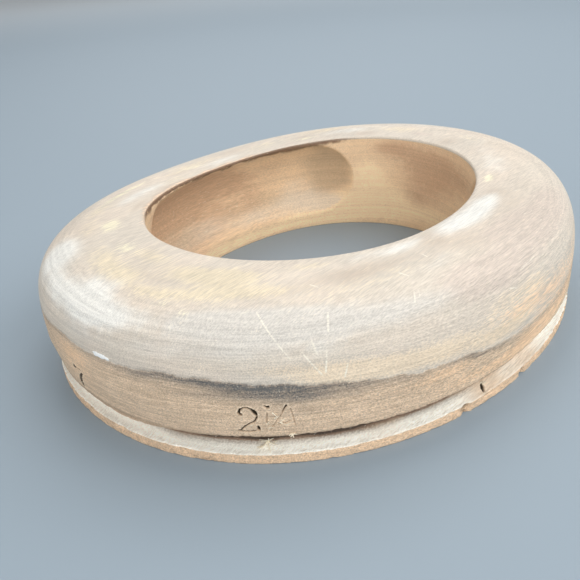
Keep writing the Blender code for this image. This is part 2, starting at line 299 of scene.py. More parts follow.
# Stains, dirt, and painted shade and highlights in the groove, which need no height, and in the opening, with their
# height in place of the way over
# In the groove, dirt and the painted shadow high in it under the wall's overhang
GROOVE_GRIME_AND_SHADE = [(-162, 0, 12, 1, 1.0), (-150, 0, 10, 1, 1.0), (-137, 0, 9, 1, 1.0), (-129, 0, 8, 1, 0.5),
                (-119, 0, 9, 1, 0.6), (60, 0, 40, 1, 0.6)]
GROOVE_TAN = [(-105, 0, 10, 1, 0.75), (-91, 0, 9, 1, 0.6), (-129, 0, 6, 1, 0.3), (40, 0, 30, 1, 0.3)]
# Painted shade with dirt under the overhanging rim, on the far side of the opening
RIM_GRIME_AND_SHADE = [(50, 38, 9, 2.5, 0.8), (38, 38.4, 8, 1.5, 0.5), (62, 37, 6, 1.5, 0.4)]
# Redder stain in the opening, with some darker patches that stand as painted shade
RED = [(122, 24, 16, 12, 0.85), (104, 27, 13, 10, 0.9), (88, 29, 12, 8, 0.75), (76, 26, 8, 6, 0.45),
       (140, 24, 14, 14, 0.75), (130, 10, 14, 8, 0.7), (108, 10, 14, 6, 0.45), (88, 14, 14, 6, 0.6),
       (60, 29, 9, 8, 0.4), (70, 14, 8, 5, 0.35), (70, 19, 9, 6, 0.35), (-8, 29, 16, 9, 0.95),
       (-4, 17, 14, 8, 0.4), (10, 35, 10, 4, 0.7), (-30, 28, 14, 8, 0.4), (-60, 30, 18, 8, 0.5),
       (-120, 28, 20, 8, 0.5), (0, 14, 6, 5, 0.25)]
# A painted highlight on the recess's lower half, which faces up
PALE = [(112, 12, 16, 7, 0.5), (92, 13, 12, 5, 0.35), (38, 10, 12, 5, 0.7), (52, 12, 14, 5, 0.6),
        (50, 19, 10, 4, 0.35), (72, 10, 14, 4, 0.5), (-100, 10, 24, 4, 0.8), (-130, 12, 12, 4, 0.6)]
# Painted shade in patches across the recess
RECESS_SHADE = [(43, 27, 8, 8, 0.5), (64, 15, 12, 6, 0.6), (39, 16, 7, 6, 0.55), (82, 15, 8, 5, 0.35),
        (112, 13, 16, 8, 0.55), (140, 20, 8, 14, 0.35), (-150, 26, 8, 6, 0.4)]
GILT = [(15, 10, 16, 9, 1.2), (20, 24, 8, 7, 0.8), (-10, 8, 14, 5, 0.6), (44, 5, 14, 5, 1.0), (33, 7, 9, 6, 1.2),
        (77, 3, 24, 2.6, 0.9), (115, 3, 24, 2.6, 0.9), (-60, 4, 30, 3, 0.6), (-120, 4, 30, 3, 0.6)]


def stain(bm):
    """Lays the stains, the wear, and painted shade and highlights on the points of a board, as masks that its wood
    is coloured by.
    """
    co = np.array([vert.co[:] for vert in bm.verts]) / MM
    face_layer, over_layer = bm.verts.layers.float["face"], bm.verts.layers.float["over_curve"]
    face = np.array([vert[face_layer] for vert in bm.verts]).round()
    over = np.array([vert[over_layer] for vert in bm.verts])
    angle, radius, height = np.arctan2(co[:, 1], co[:, 0]), np.hypot(co[:, 0], co[:, 1]), co[:, 2]
    ragged = np.array([noise.noise(Vector((x * 0.16, y * 0.16, z * 0.30))) for x, y, z in co])
    fine = np.array([noise.noise(Vector((x * 0.7 + 40, y * 0.9, z * 1.1))) for x, y, z in co])
    degrees = np.degrees(angle)
    outside, opening, groove, lip, underside = ((face == side).astype(float) for side in range(5))
    far = ease(np.sin(angle), 0.15, 0.6)

    def laid(table, level=over):
        return patches(angle, level, radius, table)

    # Outside: the tide line that a hot wet felt left, crisp above and fading in specks below, and the stains
    tide = around_line(angle, TIDE_LINE) - over + 0.7 * ragged + 0.5 * fine
    blur = ease(degrees, -112, -90) * ease(-degrees, -20, 60)
    below = ease(tide, -0.5 - 3.5 * blur, 0.8 + 3.0 * blur)
    width = around_line(angle, TIDE_WIDTH)
    band = ease(tide, -0.55, 0.75) * np.exp(-(np.maximum(tide - 0.8, 0) / width) ** 1.3)
    masks = {name: laid(table) * outside for name, table in {
        "chalk": CHALK, "butter": BUTTER, "ash": ASH, "straw": STRAW, "lilac": LILAC, "umber": UMBER,
        "tan": TAN}.items()}
    masks["ochre"] = laid(OCHRE) * outside + 0.55 * lip
    masks["slate"] = (band * around_line(angle, TIDE_STRENGTH) + laid(LOW_SLATE) * ease(tide, 0.5, 2.0)) * outside
    masks["below"] = below * outside + lip + 0.5 * underside
    masks["hollow"], masks["groove"] = opening, groove
    masks["brushed"] = outside * ease(-over, -42, -34) * (0.35 + 0.65 * ease(-over, -32, -26))

    # Painted shade and dirt: a painted shadow high in the groove under the wall's overhang, darkening on the ragged
    # edges and along the lip's foot, and painted shade with dirt in the split under the rim
    below_rim, from_rim = rim_height(angle) - height, radius - opening_radius(angle, height)
    ends = 1 - 0.6 * ease(np.abs(degrees), 163, 172)
    ends *= 1 - 0.55 * ease(degrees, -112, -104) * ease(-degrees, 15, 60)
    high_up = 0.62 * ease(height, 2.9, 5.0) + ease(height + 0.3 * ragged, 4.8, 5.8)
    grime_and_shade = groove * high_up * ends * (0.72 + 0.4 * laid(GROOVE_GRIME_AND_SHADE, 0))
    # The groove is browner at the left end and in stained patches, and high up, where the brown is part of the
    # painted shadow under the wall
    masks["tan"] += groove * (0.2 * ease(np.abs(degrees), 152, 166) + 0.9 * ease(height, 4.2 + ragged, 5.8) * ends
                              + laid(GROOVE_TAN, 0))
    grime_and_shade += outside * ease(-over, -0.7, 0.3) * 0.5 + 0.25 * lip * ease(fine, 0.15, 0.35)
    grime_and_shade += lip * (ease(-height, -1.5, 0.3) * 0.15 + 0.2 * ease(np.abs(degrees), 142, 156))
    # On the far side of the opening, painted shade under the overhanging rim and in the split there, with dirt
    to_right = 0.7 + 0.3 * ease(degrees, 42, 56)
    along_split = far * ease(degrees, 14, 30) * to_right * ease(-degrees, -158, -146)
    grime_and_shade += outside * along_split * ease(below_rim, 0.05, 0.55) * (over > 45) * 1.2
    under_rim = far * ease(-below_rim, -3.6 - 3.0 * ragged, -0.4) * ease(degrees, 16, 36) * to_right
    grime_and_shade += opening * (under_rim * np.clip(0.95 + 1.1 * fine, 0.2, 1.4) + laid(RIM_GRIME_AND_SHADE, height))
    masks["grime_and_shade"] = grime_and_shade + 1.5 * torn_depth(angle, below_rim) * opening
    rim_edge = outside * far * ease(-from_rim, -2.8 - 2.0 * ragged, -0.2) * ease(degrees, 55, 80)
    masks["umber"] += 0.9 * rim_edge
    masks["ochre"] += 0.5 * rim_edge

    # The opening: redder in patches, some darker as painted shade, golden low down, with a painted highlight on the
    # recess's lower half and painted shade at the recess's end and in patches across it
    recessed = ease(from_rim, 0.15, 0.8) * opening
    past = (degrees - 26) * radius * math.pi / 180
    at_end = np.exp(-((past - 8) / 8.0) ** 2) * ease(height, 13, 20) * (degrees > 0) * 0.85
    masks["red"] = opening * laid(RED, height)
    masks["pale"] = recessed * laid(PALE, height)
    masks["recess_shade"] = recessed * (at_end + laid(RECESS_SHADE, height))
    masks["gilt"] = opening * laid(GILT, height)
    for name, mask in masks.items():
        layer = layer_of(bm, name)
        for vert, value in zip(bm.verts, mask):
            vert[layer] = float(value)


def joined(tree, kind, feeds, **settings):
    """A node of a wood's colouring, with its settings, and each of its sockets set or fed."""
    node = tree.nodes.new(kind)
    for name, value in settings.items():
        setattr(node, name, value)
    for name, feed in feeds.items():
        if isinstance(feed, bpy.types.NodeSocket):
            tree.links.new(feed, node.inputs[name])
        else:
            node.inputs[name].default_value = feed
    return node


def reckon(tree, operation, first, second=0.0, third=0.0):
    return joined(tree, "ShaderNodeMath", {0: first, 1: second, 2: third}, operation=operation).outputs[0]


def eased(tree, value, low, high):
    """0 below the low value, 1 above the high one, and a smooth step between."""
    feeds = {"Value": value, "From Min": low, "From Max": high}
    return joined(tree, "ShaderNodeMapRange", feeds, interpolation_type="SMOOTHSTEP").outputs[0]


def laid_over(tree, share, under, over, how="MIX"):
    return joined(tree, "ShaderNodeMix", {0: share, 6: under, 7: over}, data_type="RGBA", blend_type=how).outputs[2]


def noisy(tree, place, detail, roughness):
    feeds = {"Vector": place, "Scale": 1.0, "Detail": detail, "Roughness": roughness}
    return joined(tree, "ShaderNodeTexNoise", feeds).outputs[0]


def noise_along(tree, place, length, thick, detail=2.0, roughness=0.5, turn=(0.0, 0.0, 0.0)):
    """A noise stretched along the grain, from the length and the thickness of its grains in millimetres."""
    scale = (1 / (length * MM), 1 / (thick * MM), 1 / (thick * MM))
    turned = joined(tree, "ShaderNodeMapping", {"Vector": place, "Rotation": turn, "Scale": scale}).outputs[0]
    return noisy(tree, turned, detail, roughness)


def effect(name, inputs, outputs):
    """An empty node group, with its named inputs and outputs."""
    tree = bpy.data.node_groups.new(name, "ShaderNodeTree")
    kinds = {3: "NodeSocketVector", 4: "NodeSocketColor"}
    for label, value in inputs.items():
        kind = kinds[len(value)] if isinstance(value, tuple) else "NodeSocketFloat"
        tree.interface.new_socket(name=label, in_out="INPUT", socket_type=kind).default_value = value
    for label, kind in outputs.items():
        tree.interface.new_socket(name=label, in_out="OUTPUT", socket_type=kind)
    return tree, tree.nodes.new("NodeGroupInput").outputs, tree.nodes.new("NodeGroupOutput").inputs


def send(tree, feed, socket):
    tree.links.new(feed, socket)


# The grain: fibres along the board, growth layers round a pith far below it, end-grain specks, the fine lines
# that sanding and steamed felt left round the block, and two sizes of blotch.
PATTERNS = ("Fibres", "Layers", "Specks", "Lines", "Mottle", "Blotch")
LINE_LENGTH, LINE_WIDTH = 11, 0.42
PITH_SIDEWAYS, PITH_BELOW, PITH_SQUASH = 0.016, 0.150, 0.45
LAYERS_ALONG, LAYERS_ACROSS = 12.0, 900.0
grain, given, out = effect("board_grain", {"Place": (0.0, 0.0, 0.0), "Over": 0.0},
                           dict.fromkeys(PATTERNS, "NodeSocketFloat"))
place = given["Place"]
send(grain, eased(grain, noise_along(grain, place, 4.2, 0.30, 2.0, 0.6), 0.30, 0.70), out["Fibres"])
send(grain, eased(grain, noise_along(grain, place, 0.95, 0.36, 2.0, 0.6), 0.28, 0.72), out["Specks"])
send(grain, noise_along(grain, place, 9.0, 3.0, 3.0, 0.6), out["Mottle"])
send(grain, noise_along(grain, place, 45.0, 18.0, 2.0), out["Blotch"])
apart = joined(grain, "ShaderNodeSeparateXYZ", {0: place}).outputs
rounded = joined(grain, "ShaderNodeCombineXYZ", {0: reckon(grain, "MULTIPLY", apart["X"], 1000 / LINE_LENGTH),
                                                 1: reckon(grain, "MULTIPLY", apart["Y"], 1000 / LINE_LENGTH),
                                                 2: reckon(grain, "DIVIDE", given["Over"], LINE_WIDTH)}).outputs[0]
send(grain, eased(grain, noisy(grain, rounded, 2.0, 0.55), 0.32, 0.68), out["Lines"])
across = reckon(grain, "MULTIPLY", reckon(grain, "SUBTRACT", apart["Y"], PITH_SIDEWAYS), PITH_SQUASH)
deep = reckon(grain, "ADD", apart["Z"], PITH_BELOW)
squares = reckon(grain, "ADD", reckon(grain, "MULTIPLY", across, across), reckon(grain, "MULTIPLY", deep, deep))
drift = noise_along(grain, place, 120.0, 60.0, 1.0)
from_pith = reckon(grain, "MULTIPLY_ADD", drift, 0.004, reckon(grain, "SQRT", squares))
layered = joined(grain, "ShaderNodeCombineXYZ", {0: reckon(grain, "MULTIPLY", apart["X"], LAYERS_ALONG),
                                                 1: reckon(grain, "MULTIPLY", from_pith, LAYERS_ACROSS)}).outputs[0]
send(grain, eased(grain, noisy(grain, layered, 3.0, 0.6), 0.32, 0.68), out["Layers"])

# One pale scratch, between two points, as a thin slab of light that only its own stretch of surface cuts.
scratch, given, out = effect("pale_scratch", {
    "Place": (0.0, 0.0, 0.0), "Middle": (0.0, 0.0, 0.0), "Side": (0.0, 1.0, 0.0), "Half Length": 0.005,
    "Half Width": 0.0002, "Strength": 1.0}, {"Mark": "NodeSocketFloat"})
vectors = partial(joined, scratch, "ShaderNodeVectorMath")
away = vectors({0: given["Place"], 1: given["Middle"]}, operation="SUBTRACT").outputs[0]
aside = vectors({0: away, 1: given["Side"]}, operation="DOT_PRODUCT").outputs["Value"]
reach = vectors({0: away}, operation="LENGTH").outputs["Value"]
off_line = reckon(scratch, "DIVIDE", reckon(scratch, "ABSOLUTE", aside), given["Half Width"])
thin = reckon(scratch, "SUBTRACT", 1.0, off_line)
short = reckon(scratch, "SUBTRACT", 1.0, reckon(scratch, "DIVIDE", reach, given["Half Length"]))
mark = reckon(scratch, "MULTIPLY", eased(scratch, thin, 0.0, 0.8), eased(scratch, short, 0.0, 0.25))
send(scratch, reckon(scratch, "MULTIPLY", mark, given["Strength"]), out["Mark"])

# The weathered finish that both boards share, from bleached cream on the shoulder to raw brown below, with painted
# shade and painted highlights laid in it.
SHADES = {"Cream": (0.655, 0.585, 0.495, 1), "Chalk": (0.820, 0.810, 0.760, 1), "Butter": (0.840, 0.780, 0.580, 1),
          "Ash": (0.655, 0.620, 0.565, 1), "Straw": (0.740, 0.640, 0.470, 1), "Lilac": (0.615, 0.525, 0.450, 1),
          "Umber": (0.560, 0.470, 0.380, 1), "Tan": (0.815, 0.665, 0.490, 1), "Brown": (0.600, 0.435, 0.285, 1),
          "Buff": (1.000, 0.770, 0.560, 1), "Ochre": (0.980, 0.670, 0.420, 1), "Slate": (0.150, 0.146, 0.138, 1),
          "Hollow": (0.880, 0.645, 0.415, 1), "Groove": (1.000, 0.960, 0.850, 1), "Grime_and_Shade": (0.230, 0.140, 0.085, 1)}
finish, given, out = effect("weathered_wood_with_painted_light", {**SHADES, **dict.fromkeys(PATTERNS, 0.5), "Scratches": 0.0}, {
    "Color": "NodeSocketColor", "Roughness": "NodeSocketFloat", "Height": "NodeSocketFloat"})
lay, ramp, maths = partial(laid_over, finish), partial(eased, finish), partial(reckon, finish)
times, times_plus = partial(maths, "MULTIPLY"), partial(maths, "MULTIPLY_ADD")


def mask(name):
    return joined(finish, "ShaderNodeAttribute", {}, attribute_name=name).outputs["Fac"]


def broken(name, breaking, amount, most=0.9, low=0.15, high=0.85):
    """A laid mask, broken up by a pattern, that covers at most this much."""
    centred = times_plus(breaking, amount, -amount / 2)
    return times(ramp(maths("ADD", mask(name), centred), low, high), most)


def mixed(first, second, share):
    return times_plus(maths("SUBTRACT", second, first), share, first)


fibres, layers, specks, lines, mottle, blotch = (given[pattern] for pattern in PATTERNS)
streak, speck = mixed(mottle, fibres, 0.45), mixed(specks, fibres, 0.3)
brushed = mixed(speck, lines, 0.18)
colour = lay(ramp(blotch, 0.35, 0.7), given["Cream"], (0.690, 0.600, 0.500, 1))
# The outside's stains, with the chalk among them partly a painted highlight
for shade, breaking, amount in (("Umber", streak, 0.7), ("Lilac", mottle, 0.5), ("Ash", mottle, 0.4),
                                ("Tan", streak, 0.6), ("Straw", streak, 0.9), ("Chalk", mottle, 0.5),
                                ("Butter", streak, 1.0)):
    colour = lay(broken(shade.lower(), breaking, amount), colour, given[shade])
raw = lay(ramp(mixed(brushed, mottle, 0.25), 0.10, 0.90), given["Brown"], given["Buff"])
raw = lay(times(ramp(layers, 0.45, 0.95), 0.35), raw, (0.46, 0.34, 0.24, 1))
raw = lay(times(ramp(specks, 0.70, 0.86), 0.5), raw, (0.22, 0.16, 0.11, 1))
colour = lay(broken("below", brushed, 0.7, 1.0, 0.2, 0.8), colour, raw)
colour = lay(broken("ochre", streak, 0.8, 0.7), colour, given["Ochre"])

# The opening's wall and the groove have tones of their own, with painted shade and painted highlights among them.
hollow = lay(times(layers, 0.35), given["Hollow"], (0.800, 0.575, 0.360, 1))
hollow = lay(broken("gilt", mottle, 0.5), hollow, (1.000, 0.780, 0.500, 1))
# Redder patches, some darker as painted shade
hollow = lay(broken("red", mottle, 0.7), hollow, (0.610, 0.395, 0.245, 1))
# A painted highlight on the recess's lower half
hollow = lay(broken("pale", mottle, 0.5), hollow, (0.790, 0.670, 0.520, 1))
# Painted shade in the recess, darkest at its end
hollow = lay(broken("recess_shade", mottle, 0.5, 0.7), hollow, (0.520, 0.390, 0.250, 1))
colour = lay(mask("hollow"), colour, hollow)
# The groove's near-white: pale wood, brightened further as a painted highlight where its floor catches the light
cove = lay(ramp(mixed(speck, mottle, 0.5), 0.05, 0.60), (0.86, 0.78, 0.64, 1), given["Groove"])
cove = lay(broken("tan", mottle, 0.4, 1.0, 0.0, 1.0), cove, (0.76, 0.575, 0.405, 1))
colour = lay(mask("groove"), colour, cove)

# Over them lie the dirt with painted shade, a painted near-black shadow deep under the groove's overhang, the tide
# line, the grain's own tone, the struck marks painted dark as the shadow in their cuts, with their burr, and the
# scratches.
colour = lay(broken("grime_and_shade", brushed, 0.45, 0.95, 0.1, 1.0), colour, given["Grime_and_Shade"])
# A painted near-black shadow in the groove, where the wall's overhang is deepest
undercut_shadow = times(ramp(times_plus(brushed, 0.3, mask("grime_and_shade")), 1.15, 1.6), 0.85)
colour = lay(times(undercut_shadow, mask("groove")), colour, (0.045, 0.028, 0.016, 1))
sooty = times(mask("slate"), times_plus(maths("SUBTRACT", 1.0, brushed), 0.80, 0.45))
colour = lay(joined(finish, "ShaderNodeClamp", {0: sooty}).outputs[0], colour, given["Slate"])
tone = times_plus(mottle, 0.13, times_plus(layers, 0.15, times_plus(fibres, 0.28, 0.755)))
lined = times(lines, mask("brushed"))
round_tone = maths("SUBTRACT", times_plus(lined, 0.13, 1.0), times(mask("brushed"), 0.065))
tone = times(tone, round_tone)
tone_colour = joined(finish, "ShaderNodeCombineColor", {0: tone, 1: tone, 2: tone}).outputs[0]
colour = lay(1.0, colour, tone_colour, "MULTIPLY")
# The cuts of the struck figures and the chips, painted near-black as the shadow in them
colour = lay(ramp(mask("struck"), 0.15, 0.75), colour, (0.045, 0.030, 0.016, 1))
colour = lay(times(mask("burr"), 0.75), colour, (0.97, 0.80, 0.60, 1))
scraped = times(given["Scratches"], ramp(mixed(speck, lines, 0.5), 0.0, 0.7))
colour = lay(times(scraped, 0.85), colour, (0.98, 0.92, 0.78, 1))
send(finish, colour, out["Color"])
send(finish, times_plus(fibres, 0.10, times_plus(mask("below"), 0.20, 0.56)), out["Roughness"])
coarse = times(speck, times_plus(mask("below"), 0.75, 0.15))
coarse = times_plus(mask("groove"), times(speck, 0.5), coarse)
relief = times_plus(layers, 0.12, times_plus(fibres, 0.30, coarse))
relief = times_plus(lined, 0.25, relief)
send(finish, times_plus(given["Scratches"], 0.3, relief), out["Height"])


def paint(name):
    """A new material, its node tree and the inputs of its shader."""
    material = bpy.data.materials.new(name)
    material.use_nodes = True
    return material, material.node_tree, material.node_tree.nodes["Principled BSDF"].inputs


def board_wood(name, scratches):
    """A board's wood: the grain, the finish and this board's own scratches."""
    wood, tree, shader = paint(name)
    place = joined(tree, "ShaderNodeTexCoord", {}).outputs["Object"]
    over = joined(tree, "ShaderNodeAttribute", {}, attribute_name="over_curve").outputs["Fac"]
    board_grain = joined(tree, "ShaderNodeGroup", {"Place": place, "Over": over}, node_tree=grain).outputs
    marks = eased(tree, noise_along(tree, place, 2.4, 0.34, 0.0, 0.5, (0.0, 0.0, 1.15)), 0.755, 0.83)
    more = eased(tree, noise_along(tree, place, 2.0, 0.34, 0.0, 0.5, (0.5, 0.2, -0.75)), 0.765, 0.84)
    marks = reckon(tree, "MULTIPLY", reckon(tree, "MAXIMUM", marks, more), 0.5)
    for start, end, width, strength in scratches:
        start, end = Vector(start) * MM, Vector(end) * MM
        middle = (start + end) / 2
        # Near enough the way out of the shoulder there
        outward = Vector((middle.x * 0.45, middle.y * 0.45, middle.z - 0.018))
        line = joined(tree, "ShaderNodeGroup", {
            "Place": place, "Middle": middle, "Side": (end - start).cross(outward).normalized(),
            "Half Length": (end - start).length / 2 * 1.1, "Half Width": width * MM, "Strength": strength},
            node_tree=scratch)
        marks = reckon(tree, "MAXIMUM", marks, line.outputs["Mark"])
    feeds = {pattern: board_grain[pattern] for pattern in PATTERNS}
    worn = joined(tree, "ShaderNodeGroup", {**feeds, "Scratches": marks}, node_tree=finish).outputs
    send(tree, worn["Color"], shader["Base Color"])
    send(tree, worn["Roughness"], shader["Roughness"])
    bump = joined(tree, "ShaderNodeBump", {"Strength": 0.60, "Distance": 0.0003, "Height": worn["Height"]})
    send(tree, bump.outputs[0], shader["Normal"])
    return wood


def meshed(name, bm, material):
    """A new object of a bmesh, in this material."""
    mesh = bpy.data.meshes.new(name)
    bm.to_mesh(mesh)
    bm.free()
    mesh.materials.append(material)
    return placed(name, mesh)


def finish_board(name, bm, material):
    stain(bm)
    board = meshed(name, bm, material)
    board.data.shade_smooth()
    board.data.set_sharp_from_angle(angle=math.radians(40))
    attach(board, "root")
    return board


around = np.arange(COLUMNS) * 2 * math.pi / COLUMNS
glue_top = GLUE_LINE + GLUE_THICKNESS / 2
start_way = wall(around, glue_top + 0 * around)[1]
top_way = 1 - RIM_ROUND / 40
crown_rows = []
for step in np.linspace(0, 1, 62):
    crown_rows.append((*shoulder(around, start_way + (top_way - start_way) * step), OUTSIDE))
rim = oval(OPENING_LENGTH, OPENING_WIDTH, around)
for turn in np.linspace(0, math.pi / 2, 6)[1:]:
    inset = RIM_ROUND * (1 - math.sin(turn))
    drop = RIM_ROUND * (1 - math.cos(turn))
    crown_rows.append((rim + inset, rim_height(around) - drop, OUTSIDE))
NEAR_RIM = 3.0
wall_height = rim_height(around) - RIM_ROUND - glue_top
near_rim_rows = [rim_height(around) - RIM_ROUND - drop for drop in (0.2, 0.4, 0.65, 0.9, 1.2, 1.6, 2.2)]
crown_rows += opening_rows(around, near_rim_rows)
crown_rows += opening_rows(around, [glue_top + (wall_height - NEAR_RIM) * share for share in np.linspace(1, 0, 24)])
SCRATCHES = [
    ((-70.5, -42.7, 38.7), (-71.6, -53.9, 30.4), 0.28, 0.9), ((-59.1, -54.9, 37.5), (-62.5, -57.7, 34.6), 0.38, 0.9),
    ((-64.8, -59.0, 31.1), (-66.3, -59.7, 26.2), 0.34, 1.1), ((-61.7, -62.6, 27.5), (-62.9, -62.5, 24.2), 0.34, 1.1),
    ((-69.3, -55.1, 31.9), (-66.9, -59.3, 25.7), 0.28, 0.9), ((-66.3, -55.8, 33.9), (-66.7, -58.0, 30.3), 0.35, 0.8),
    ((-38.4, -65.1, 36.9), (-41.1, -67.1, 35.4), 0.32, 0.8), ((-37.1, -65.5, 36.9), (-38.6, -66.8, 36.1), 0.25, 0.7),
    ((-54.5, -45.3, 39.7), (-53.9, -47.8, 39.5), 0.25, 0.8), ((-35.2, -58.3, 38.7), (-34.6, -61.0, 38.3), 0.25, 0.8),
    ((-22.7, -57.1, 38.6), (-23.3, -59.3, 38.5), 0.25, 0.8), ((-73.8, -40.2, 38.5), (-71.2, -41.0, 38.9), 0.35, 0.5),
    ((3.8, -76.6, 32.6), (-5.4, -76.9, 32.2), 0.25, 0.7), ((-13.0, -77.8, 30.3), (-10.0, -78.5, 29.4), 0.28, 0.7),
    ((71.0, 24.0, 39.0), (66.0, 33.0, 38.6), 0.28, 0.7), ((20.0, 70.0, 36.5), (26.0, 74.0, 32.0), 0.28, 0.7),
    ((90.0, -14.0, 34.0), (93.0, -12.0, 30.0), 0.28, 0.7)]
crown_wood = board_wood("crown_wood", SCRATCHES)
crown_board = finish_board("crown_wood_board", ring(crown_rows), crown_wood)
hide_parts("crown_board")

# The base board
# The lower board, with the cord groove and the thin lip under it. Its wall is raw and fibrous, and the
# depth and the size are struck into it with steel figure punches, which left splinters and a raised burr.
# The groove has a flat ceiling, a round corner and a sloping floor, a quarter of an ellipse from GROOVE_TURN down.
LIP_THICKNESS = 3.0
GROOVE_FLAT, GROOVE_DEPTH, COVE_ROUND = 3.8, 4.4, 0.6
GROOVE_TURN, GROOVE_DROP, GROOVE_REACH = 8.7, 5.6, 3.9
glue_bottom = GLUE_LINE - GLUE_THICKNESS / 2
cord = oval(BLOCK_LENGTH, BLOCK_WIDTH, around)
level = 0 * around
base_rows = []
fray = 0.5 * np.clip(roughness_round(around, 1.8, 1.3) + 0.9 * roughness_round(around, 0.8, 4.1), 0, 0.6)
hang = around_line(around, [(-179, 1.2), (-173, 1.8), (-168, 1.6), (-163, 0.8), (-150, 0.4), (-134, 0.35),
                            (-122, 0.6), (-104, 0.5), (-92, 0.2), (0, 0.3), (60, 0.5), (140, 0.4), (172, 0.8)])
for height in np.linspace(glue_bottom, CORD_LINE + 0.25, 28):
    raised = level + height + (fray - hang) * ease(-height, -CORD_LINE - 2.0, -CORD_LINE)
    base_rows.append((wall(around, raised)[0], raised, OUTSIDE))
base_rows.append((cord - 0.1, level + CORD_LINE + 0.05 + fray - hang, OUTSIDE))
for inset in (0.6, 1.8, 3.0, GROOVE_FLAT):
    frayed, hanging = fray * max(1 - inset / 1.8, 0), hang * max(1 - inset / 3.4, 0)
    base_rows.append((cord - inset, level + CORD_LINE + frayed - hanging, GROOVE))
for turn in np.linspace(0, math.pi / 2, 5)[1:]:
    inset, drop = COVE_ROUND * math.sin(turn), COVE_ROUND * (1 - math.cos(turn))
    base_rows.append((cord - GROOVE_FLAT - inset, level + CORD_LINE - drop, GROOVE))
for turn in np.linspace(0, math.pi / 2, 13)[1:]:
    outset, drop = GROOVE_REACH * (1 - math.cos(turn)), GROOVE_DROP * math.sin(turn)
    base_rows.append((cord - GROOVE_DEPTH + outset, level + GROOVE_TURN - drop, GROOVE))
chewed = np.clip(roughness_round(around, 3.6, 8.2) + 0.7 * roughness_round(around, 1.2, 2.6) + 0.05, 0, 0.5)
base_rows.append((cord - 0.12 - 0.9 * chewed, level + LIP_THICKNESS - 0.03 - 0.5 * chewed, GROOVE))
for height in np.linspace(LIP_THICKNESS - 0.18, 0.25, 7):
    nibbled = np.clip(roughness_round(around, 1.8, 3.0 + height) + 0.1, 0, 0.5)
    upper = float(ease(height, 1.2, 2.8))
    base_rows.append((cord - 0.8 * chewed * upper - 0.35 * nibbled, level + height - 0.4 * chewed * upper, LIP_EDGE))
broken_off = np.clip(roughness_round(around, 2.6, 6.6) + 0.6 * roughness_round(around, 0.9, 9.1), 0, 0.5)
base_rows.append((cord - 0.08 - 1.1 * broken_off, level + 0.08 + 0.6 * broken_off, LIP_EDGE))
base_rows.append((cord - 0.3 - 1.2 * broken_off, level, UNDERSIDE))
base_rows.append((cord - 3.0, level, UNDERSIDE))
foot = opening_radius(around, level)
for share in np.linspace(0.04, 0.99, 4):
    base_rows.append((cord + (foot - cord) * share, level, UNDERSIDE))
base_rows.append((foot + 0.08, level + 0.08, OPENING))
base_rows += opening_rows(around, list(np.linspace(0.3, glue_bottom, 26)))
base_rows.append(((cord + foot) / 2, level + glue_bottom, JOINT))
base_bm = ring(base_rows)

# The figures, as strokes of (mm along the wall, mm up, mm half width, mm deep), each from its own corner.
TWO = [[(0.44, 6.24, 0.37, 0.95), (0.88, 7.26, 0.30, 0.95), (1.66, 7.74, 0.26, 0.92), (2.63, 7.8, 0.27, 0.92),
        (3.52, 7.26, 0.39, 0.95), (4.24, 6.3, 0.57, 0.95), (4.61, 5.44, 0.38, 0.92)],
       [(0.89, 5.76, 0.46, 0.95), (0.6, 6.1, 0.38, 0.95)],
       [(4.73, 4.8, 0.28, 0.55), (4.15, 3.68, 0.28, 0.5), (2.72, 2.78, 0.28, 0.5), (1.39, 1.76, 0.28, 0.5),
        (0.55, 0.8, 0.27, 0.52)],
       [(0.23, 0.54, 0.44, 0.95), (0.45, 0.4, 0.33, 0.92)],
       [(0.72, 0.22, 0.27, 0.5), (2.39, 0.16, 0.27, 0.45), (4.1, 0.48, 0.27, 0.5)],
       [(4.75, 1.76, 0.39, 0.95), (4.87, 0.8, 0.39, 0.95)]]
QUARTER = [[(6.84, 8.15, 0.22, 0.57), (7.55, 7.68, 0.44, 0.95)], [(7.26, 5.97, 0.22, 0.30), (6.92, 3.1, 0.22, 0.30)],
           [(11.94, 7.86, 0.30, 0.75), (11.5, 7.2, 0.24, 0.55), (10.67, 5.5, 0.19, 0.30)],
           [(10.67, 5.5, 0.19, 0.28), (9, 2.9, 0.19, 0.28), (7.33, 0.13, 0.19, 0.28)],
           [(12.9, 6.74, 0.21, 0.28), (13.7, 1.8, 0.21, 0.28)],
           [(9.65, 2.2, 0.19, 0.30), (11.9, 2.95, 0.21, 0.30), (13.2, 3.5, 0.19, 0.28)]]
SEVEN = [[(1.75, 8.75, 0.50, 0.95), (1.85, 8.5, 0.45, 0.90)], [(2.0, 8.6, 0.22, 0.30), (4.8, 8.5, 0.22, 0.30)],
         [(4.8, 7.3, 0.22, 0.50), (2.8, 5.4, 0.45, 0.80), (1.5, 3.5, 0.62, 0.95), (0.8, 2.1, 0.70, 0.95),
          (0.3, 0.1, 0.30, 0.60)]]
# A knife nick across the cord groove, leaf-shaped and upright.
NICK = [[(-0.70, -0.6, 0.20, 0.50), (-0.25, 0.25, 0.52, 0.75), (0.15, 0.9, 0.60, 0.85), (0.6, 1.5, 0.38, 0.60)]]
BURR_HEIGHT, BURR_OUTSET, BURR_WIDTH = 0.16, 0.22, 0.18


